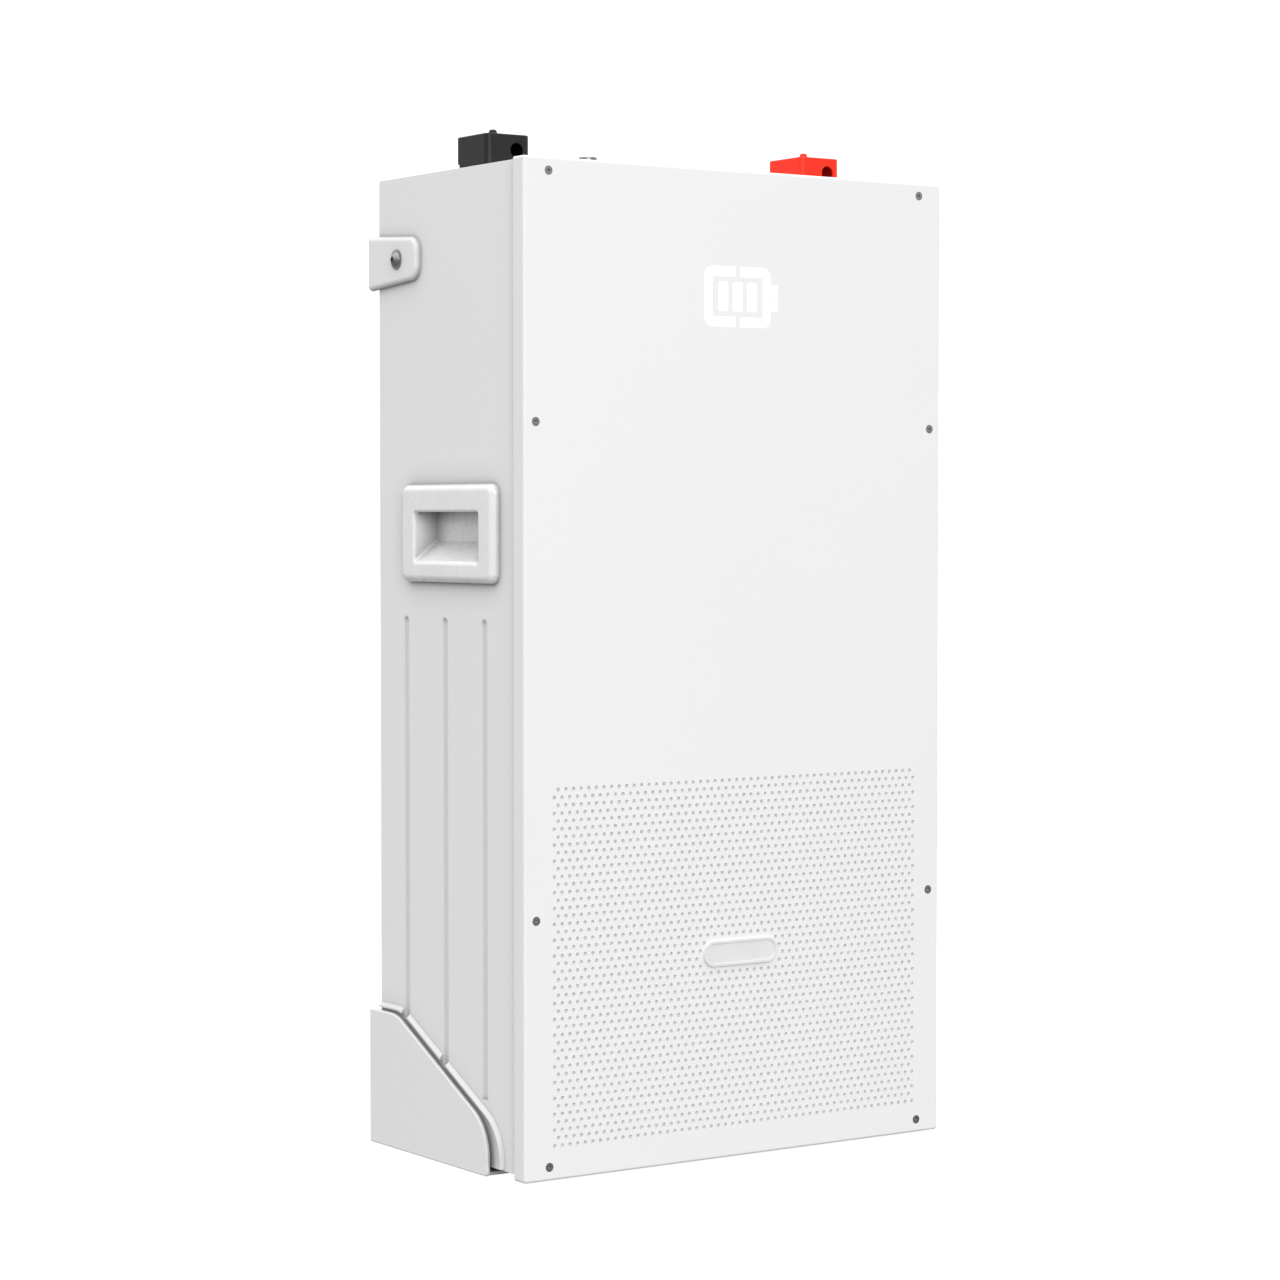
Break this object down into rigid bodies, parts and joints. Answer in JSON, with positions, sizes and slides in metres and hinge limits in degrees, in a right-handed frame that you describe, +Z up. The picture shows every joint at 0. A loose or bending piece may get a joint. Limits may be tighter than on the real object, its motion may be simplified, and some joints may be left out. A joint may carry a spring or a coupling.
{
  "type": "wall battery unit",
  "caption": "Wall-hung battery unit: white steel case, perforated front cover, side grab handles, wall brackets and hinged terminal covers on top.",
  "frame": {"origin": "centre of the bounding box footprint, on the plane under the lower bracket", "axes": "+Z up, the front cover faces -Y, the wall is at +Y, +X to the right seen from the front"},
  "size_m": [0.4756, 0.266, 0.931],
  "materials": {
    "case_paint": "fine-textured white powder coat",
    "handle_plastic": "smooth moulded white plastic",
    "badge_plastic": "satin moulded plastic",
    "filter_mesh": "white non-woven sheet",
    "seal_rubber": "matt",
    "screw_steel": "stainless",
    "zinc_steel": "zinc plated",
    "light_acrylic": "frosted white acrylic",
    "board_green": "solder mask",
    "black_terminal": "moulded, lightly textured",
    "red_terminal": "moulded, lightly textured",
    "brass": "nickel-free brass",
    "button_steel": "turned stainless",
    "port_black": "moulded",
    "lever_white": "moulded",
    "cell_wrap": "shrink film",
    "aluminium": "mill finish",
    "insulator_sheet": "laminated sheet",
    "copper": "bare copper",
    "capacitor_can": "sleeved can",
    "fuse_ceramic": "glazed ceramic"
  },
  "bodies": {
    "root": {"badge_plate": "badge_plastic", "bms_board": "board_green", "bms_capacitors": "capacitor_can", "bms_chips": "port_black", "board_screws": "screw_steel", "board_standoffs": "zinc_steel", "bracket_inserts": "zinc_steel", "case_back": "case_paint", "case_bottom": "case_paint", "case_front_frame": "case_paint", "case_left_side": "case_paint", "case_right_side": "case_paint", "case_top": "case_paint", "cell_links": "copper", "cell_posts": "aluminium", "cell_rails": "zinc_steel", "cell_spacers": "insulator_sheet", "cells_left": "cell_wrap", "cells_right": "cell_wrap", "cover_gasket": "seal_rubber", "cover_rivet_nuts": "zinc_steel", "cover_screws": "screw_steel", "data_ports": "port_black", "ear_screws": "screw_steel", "earth_stud": "zinc_steel", "end_plates": "aluminium", "front_cover": "case_paint", "handle_left": "handle_plastic", "handle_right": "handle_plastic", "handle_screws": "screw_steel", "heat_spreader": "aluminium", "interface_board": "board_green", "link_carriers": "insulator_sheet", "main_fuse": "fuse_ceramic", "negative_bar": "copper", "negative_terminal_base": "black_terminal", "positive_bar": "copper", "positive_terminal_base": "red_terminal", "power_button_bezel": "button_steel", "sense_ribbons": "insulator_sheet", "shelf_pads": "seal_rubber", "status_led_board": "board_green", "status_light_lens": "light_acrylic", "support_bracket": "case_paint", "switch_bodies": "port_black", "terminal_base_screws": "screw_steel", "terminal_hinge_pins": "screw_steel", "terminal_studs": "brass", "tie_rods": "zinc_steel", "upper_bracket_left": "case_paint", "upper_bracket_right": "case_paint", "vent_filter": "filter_mesh"},
    "negative_cover": {"negative_terminal_cover": "black_terminal"},
    "positive_cover": {"positive_terminal_cover": "red_terminal"},
    "power_button": {"power_button": "button_steel"},
    "reset_button": {"reset_button": "lever_white"},
    "address_lever_1": {"address_lever_1": "lever_white"},
    "address_lever_2": {"address_lever_2": "lever_white"},
    "address_lever_3": {"address_lever_3": "lever_white"},
    "address_lever_4": {"address_lever_4": "lever_white"}
  },
  "joints": [
    {"name": "negative_cover_hinge", "type": "hinge", "parent": "root", "child": "negative_cover", "pos_m": [-0.1755, 0.03175, 0.9005], "axis": [-1, 0, 0], "range_deg": [0, 100]},
    {"name": "positive_cover_hinge", "type": "hinge", "parent": "root", "child": "positive_cover", "pos_m": [0.1755, 0.03175, 0.9005], "axis": [-1, 0, 0], "range_deg": [0, 100]},
    {"name": "power_button_press", "type": "slide", "parent": "root", "child": "power_button", "axis": [0, 0, -1], "range_m": [0, 0.0025], "stiffness_N_per_m": 1400, "springref_m": -0.0005},
    {"name": "reset_button_press", "type": "slide", "parent": "root", "child": "reset_button", "axis": [0, 0, -1], "range_m": [0, 0.001], "stiffness_N_per_m": 1500, "springref_m": -0.0003},
    {"name": "address_lever_1_slide", "type": "slide", "parent": "root", "child": "address_lever_1", "axis": [0, 1, 0], "range_m": [0, 0.002]},
    {"name": "address_lever_2_slide", "type": "slide", "parent": "root", "child": "address_lever_2", "axis": [0, 1, 0], "range_m": [0, 0.002]},
    {"name": "address_lever_3_slide", "type": "slide", "parent": "root", "child": "address_lever_3", "axis": [0, 1, 0], "range_m": [0, 0.002]},
    {"name": "address_lever_4_slide", "type": "slide", "parent": "root", "child": "address_lever_4", "axis": [0, 1, 0], "range_m": [0, 0.002]}
  ]
}
